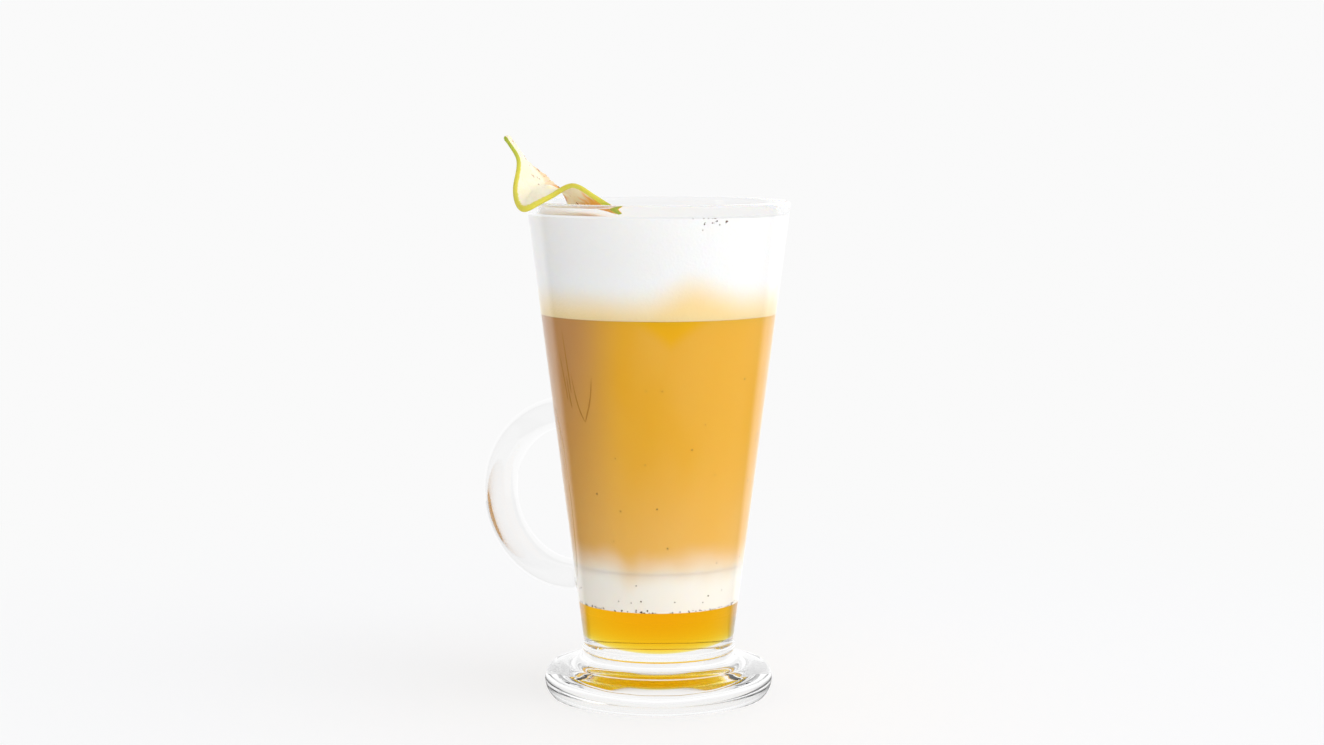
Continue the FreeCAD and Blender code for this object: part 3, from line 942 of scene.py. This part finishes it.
def slice_material():
    """Dried pear: wrinkled flesh with a thin yellow-green peel, greener at both ends."""
    nodes = Nodes("dried_pear")
    across, along, _ = nodes.split(nodes.add("ShaderNodeTexCoord").outputs["UV"])
    spot = nodes.place()
    blotches = nodes.noise(spot, 260.0, 4.0)
    fine = nodes.noise(spot, 1400.0, 3.0)
    green = nodes.mix(nodes.fade(along, 0.0, 0.22), PEEL_STEM, PEEL_MIDDLE)
    green = nodes.mix(nodes.fade(along, 0.84, 0.96), green, PEEL_TIP)
    green = nodes.mix(nodes.times(fine, 0.5), green, PEEL_MOTTLE)
    width = nodes.plus(0.03, nodes.sway(fine, 0.05))
    peel = nodes.minus(1.0, nodes.fade(nodes.minus(across, width), 0.0, 0.03))
    fibres = nodes.noise(nodes.stretch(spot, (1.0, 1.0, 0.5)), 900.0, 4.0)
    relief = nodes.plus(fibres, nodes.times(blotches, 1.5))
    rough = nodes.add("ShaderNodeMapRange", Value=fine, To_Min=0.45, To_Max=0.75)
    nodes.set(
        Base_Color=nodes.mix(peel, flesh_colour(nodes, across, along, blotches), green),
        Roughness=rough.outputs[0],
        Specular_IOR_Level=0.3,
        Subsurface_Weight=0.35,
        Subsurface_Radius=(1.0, 0.6, 0.25),
        Subsurface_Scale=0.0015,
        Normal=nodes.bump(relief, 0.6, 0.0004),
    )
    return nodes.material


def slice_wave():
    """A fixed mixture of sines for the slice's ragged edge and ripples."""
    draw = random.Random(11)
    waves = []
    for _ in range(SLICE_WAVES):
        waves.append((draw.uniform(0.35, 1.6), draw.uniform(0, 6.3), draw.uniform(0.3, 1.0)))

    def wave(place, offset):
        parts = (size * math.sin(rate * place + phase + offset) for rate, phase, size in waves)
        return sum(parts) / 4

    return wave


def slice_half(place, length):
    """Half the slice's thickness at a place along it: rounded ends and a knob on the stem."""
    stem = (place + STEM_LEAD) / STEM_REACH
    tip = (length - place + TIP_LEAD) / TIP_REACH
    rounding = min(stem, tip, 1.0)
    half = SLICE_THICKNESS / 2 * math.sqrt(rounding)
    return half + KNOB_SWELL * math.exp(-(((place - KNOB_PLACE) / KNOB_REACH) ** 2))


def slice_width(width, place, share, wave):
    """The slice's width after its ragged core edge and pointed far end are taken off."""
    ragged = min(RAGGED_DEPTH, RAGGED_SHARE * width) * (1 + wave(place * RAGGED_RATE, 0.0))
    width -= max(ragged, 0.0)
    return width * max(min((1 - share) / TIP_SHARE, 1.0) ** TIP_POWER, TIP_LEAST)


def slice_section(place, width, half, wave):
    """One section round the slice, from the peel over the top and back below, as places across
    the slice, heights off its middle and the share across for the chart."""
    edge = min(half, width / 3)

    def side(sign, k):
        across = (edge + (width - edge * (1 + CORE_MARGIN)) * k / SLICE_ACROSS) / width
        ripple = wave(place * RIPPLE_ALONG + across * RIPPLE_ACROSS, RIPPLE_TURN * across)
        ripple *= RIPPLE * math.sin(math.pi * across)
        return across, sign * half * (SIDE_THICK - SIDE_LOSS * across) + ripple, across

    core_in, core_up = CORE_CORNER
    peel_in, peel_up = PEEL_CORNER
    core, peel = 1 - core_in * edge / width, peel_in * edge / width
    section = [side(1, k) for k in range(SLICE_ACROSS + 1)]
    section += [(core, half * core_up, 1.0), (core, -half * core_up, 1.0)]
    section += [side(-1, k) for k in reversed(range(SLICE_ACROSS + 1))]
    section += [(peel, -half * peel_up, 0.0), (peel, half * peel_up, 0.0)]
    return section


def make_slice():
    """The dried half slice, a thin closed sheet with rippled flesh and a ragged core edge."""
    rows = [[slice_point(row[0]), slice_point(row[1]), row[2]] for row in CURL]
    peels, cores, arches = zip(*rows)
    places = [0.0]
    for before, after in zip(peels, peels[1:]):
        places.append(places[-1] + float(np.linalg.norm(after - before)))
    peel_line, core_line = smooth_curve(places, peels), smooth_curve(places, cores)
    arch_line = smooth_curve(places, [[arch] for arch in arches])
    wave = slice_wave()
    points, marks = [], []
    for step in range(SLICE_ALONG + 1):
        share = step / SLICE_ALONG
        place = places[-1] * share
        peel, core = above_foam(peel_line(place)), above_foam(core_line(place))
        ahead = unit(peel_line(place + SLICE_NEARBY) - peel_line(place - SLICE_NEARBY))
        normal = unit(np.cross(ahead, core - peel))
        inward = unit(core - peel)
        width = slice_width(float(np.linalg.norm(core - peel)), place, share, wave)
        arch = float(arch_line(place)[0])
        half = slice_half(place, places[-1])
        for across, up, mark in slice_section(place, width, half, wave):
            rise = 4 * across * (1 - across) * arch
            points.append(peel + inward * (across * width) + normal * (rise + up))
            marks.append((mark, share))
    around = len(points) // (SLICE_ALONG + 1)
    piece = mesh_from("pear_slice", points, tube_faces(SLICE_ALONG, around))
    chart = piece.data.uv_layers.new(name="across_along")
    for loop in piece.data.loops:
        chart.data[loop.index].uv = marks[loop.vertex_index]
    form = bmesh.new()
    form.from_mesh(piece.data)
    bmesh.ops.recalc_face_normals(form, faces=form.faces)
    form.to_mesh(piece.data)
    form.free()
    piece.data.materials.append(slice_material())
    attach(piece, "root")
    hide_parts("pear_chip")


# ---------------------------------------------------------------------------------------------
# Vanilla seeds and drips
# ---------------------------------------------------------------------------------------------


def wall_spot(turn, height):
    """A point where the drink meets the glass; turn is in degrees round from the front."""
    angle = math.radians(turn) + VIEW_TURN - math.pi / 2
    radius = inner_radius(height) + INTO_WALL
    return np.array([radius * math.cos(angle), radius * math.sin(angle), height])


# How many seeds there are, and where: round the glass in degrees from the front, and up from or
# down from a layer's top in millimetres.
SYRUP_TOP_SEEDS = 130
MILK_SEEDS = 24
COFFEE_SEEDS = 45
FOAM_WALL_SEEDS = 11
FOAM_TOP_SEEDS = 7
ALL_ROUND = (-180, 180)
SYRUP_SEEDS_SPREAD = 0.35
SYRUP_SEEDS_LIFT = 0.1
MILK_SEEDS_RISE = (0.5, 9.0)
COFFEE_SEEDS_RISE = 60
FOAM_SEEDS_TURN = 24
FOAM_WALL_SPREAD = (5, 1.8)
FOAM_WALL_DROP = 0.3
FOAM_TOP_SPREAD = 7
FOAM_TOP_REACH = (0.72, 0.99)  # the share of the way out from the axis
SEED_SIZE = (0.14, 0.25)
SEED_DEPTH = (0.7, 1.0)
SEED_HEIGHT = (0.7, 1.3)


def seed_spots(draw):
    """Places for the seeds: along the syrup's top, in the milk and coffee, and on the foam."""
    spots = []
    for _ in range(SYRUP_TOP_SEEDS):
        turn = draw.uniform(*ALL_ROUND)
        height = SYRUP_TOP + abs(draw.gauss(0, SYRUP_SEEDS_SPREAD)) + SYRUP_SEEDS_LIFT
        spots.append(wall_spot(turn, height))
    for _ in range(MILK_SEEDS):
        turn = draw.uniform(*ALL_ROUND)
        spots.append(wall_spot(turn, SYRUP_TOP + draw.uniform(*MILK_SEEDS_RISE)))
    for _ in range(COFFEE_SEEDS):
        turn = draw.uniform(*ALL_ROUND)
        spots.append(wall_spot(turn, draw.uniform(MILK_TOP, MILK_TOP + COFFEE_SEEDS_RISE)))
    for _ in range(FOAM_WALL_SEEDS):
        turn = draw.gauss(FOAM_SEEDS_TURN, FOAM_WALL_SPREAD[0])
        height = FOAM_TOP - abs(draw.gauss(0, FOAM_WALL_SPREAD[1])) - FOAM_WALL_DROP
        spots.append(wall_spot(turn, height))
    for _ in range(FOAM_TOP_SEEDS):
        flat = wall_spot(draw.gauss(FOAM_SEEDS_TURN, FOAM_TOP_SPREAD), FOAM_TOP)[:2]
        flat = flat * draw.uniform(*FOAM_TOP_REACH)
        crown = FOAM_CROWN * (1 - (math.hypot(*flat) / inner_radius(FOAM_TOP)) ** 2)
        spots.append(np.array([*flat, FOAM_TOP + crown]))
    return spots


def make_seeds():
    """Vanilla seeds, each a tiny dark bean half sunk in the drink's surface."""
    draw = random.Random(5)
    spots = seed_spots(draw)
    form = bmesh.new()
    for spot in spots:
        made = bmesh.ops.create_icosphere(form, subdivisions=2, radius=1.0)["verts"]
        size = draw.uniform(*SEED_SIZE)
        depth, height = draw.uniform(*SEED_DEPTH), draw.uniform(*SEED_HEIGHT)
        scale = Vector((size, size * depth, size * height))
        for vertex in made:
            vertex.co = (vertex.co * scale + Vector(spot)) * MM
    mesh = bpy.data.meshes.new("vanilla_seeds")
    form.to_mesh(mesh)
    form.free()
    mesh.shade_smooth()
    seeds = new_object("vanilla_seeds", mesh)
    nodes = Nodes("vanilla_seed")
    shades = nodes.noise(nodes.place(), 800.0, 1.0)
    nodes.set(
        Base_Color=nodes.mix(shades, colour(58, 34, 16), colour(112, 74, 38)),
        Roughness=0.5,
        Normal=nodes.bump(nodes.noise(nodes.place(), 6000.0), 0.4, 0.00005),
    )
    mesh.materials.append(nodes.material)
    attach(seeds, "root")


# Thin drips of syrup down the wall in the coffee: places as (turn from the front, height).
DRIPS = [
    [(-57.5, 98.0), (-56.8, 93.0), (-55.4, 88.5)],
    [(-53.0, 98.5), (-51.5, 93.0), (-48.8, 88.0), (-45.2, 84.6)],
    [(-38.0, 98.0), (-39.6, 92.5), (-42.4, 88.0), (-45.2, 84.6)],
    [(-57.0, 111.0), (-56.2, 105.0), (-55.4, 99.0), (-54.6, 93.0)],
    [(-62.0, 104.0), (-60.0, 97.0), (-58.5, 90.5)],
]
DRIP_AROUND = 10
DRIP_ALONG = 40
DRIP_NEARBY = 0.5  # degrees between two points that give the direction round the wall
DRIP_THIN = 0.07
DRIP_SWELL = 0.12
DRIP_RUN = 1.04  # above 1, so the swelling is over just before the lower end
DRIP_START = 0.2
DRIP_GROWTH = 6
DRIP_SIDEWAYS = 1.6  # how much wider than its size a drip is along the wall
DRIP_OUTWARD = 0.5  # and how much flatter off the wall


def drip_size(share):
    """A drip's size at a share of its way down: thin, swelling towards the lower end."""
    run = min(share * DRIP_RUN, 1.0)
    size = DRIP_THIN + DRIP_SWELL * share * math.sin(math.pi * run) ** 0.5
    return size * min(1.0, DRIP_GROWTH * share + DRIP_START)


def make_drips():
    """Hair-thin drips that follow the wall."""
    points, faces = [], []
    for route in DRIPS:
        route_at = smooth_curve(list(range(len(route))), route)
        start = len(points)
        for step in range(DRIP_ALONG + 1):
            share = step / DRIP_ALONG
            turn, height = route_at(share * (len(route) - 1))
            size = drip_size(share)
            centre = wall_spot(turn, height)
            side = unit(wall_spot(turn + DRIP_NEARBY, height) - centre)
            out = unit(np.array([centre[0], centre[1], 0.0]))
            for k in range(DRIP_AROUND):
                angle = 2 * math.pi * k / DRIP_AROUND
                along_wall = side * size * math.cos(angle) * DRIP_SIDEWAYS
                off_wall = out * size * DRIP_OUTWARD * math.sin(angle)
                points.append(centre + along_wall + off_wall)
        # turned the other way round, from the same first corner
        faces += [f[:1] + f[:0:-1] for f in tube_faces(DRIP_ALONG, DRIP_AROUND, start)]
    drips = mesh_from("syrup_drips", points, faces)
    nodes = Nodes("syrup_drip")
    shades = nodes.noise(nodes.place(), 400.0, 2.0)
    nodes.set(
        Base_Color=nodes.mix(shades, colour(168, 114, 44), colour(190, 136, 56)),
        Roughness=0.4,
        Specular_IOR_Level=0.0,
        Normal=nodes.bump(shades, 0.3, 0.0001),
    )
    drips.data.materials.append(nodes.material)
    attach(drips, "root")


# ---------------------------------------------------------------------------------------------
# The scene
# ---------------------------------------------------------------------------------------------

bpy.context.scene.view_settings.view_transform = "Standard"
make_camera()
make_world()
make_floor()
softbox("key_light", right=0.9, ahead=-0.5, up=0.9, size=0.8, power=1.75)
make_glass()
make_drink()
make_slice()
make_seeds()
make_drips()
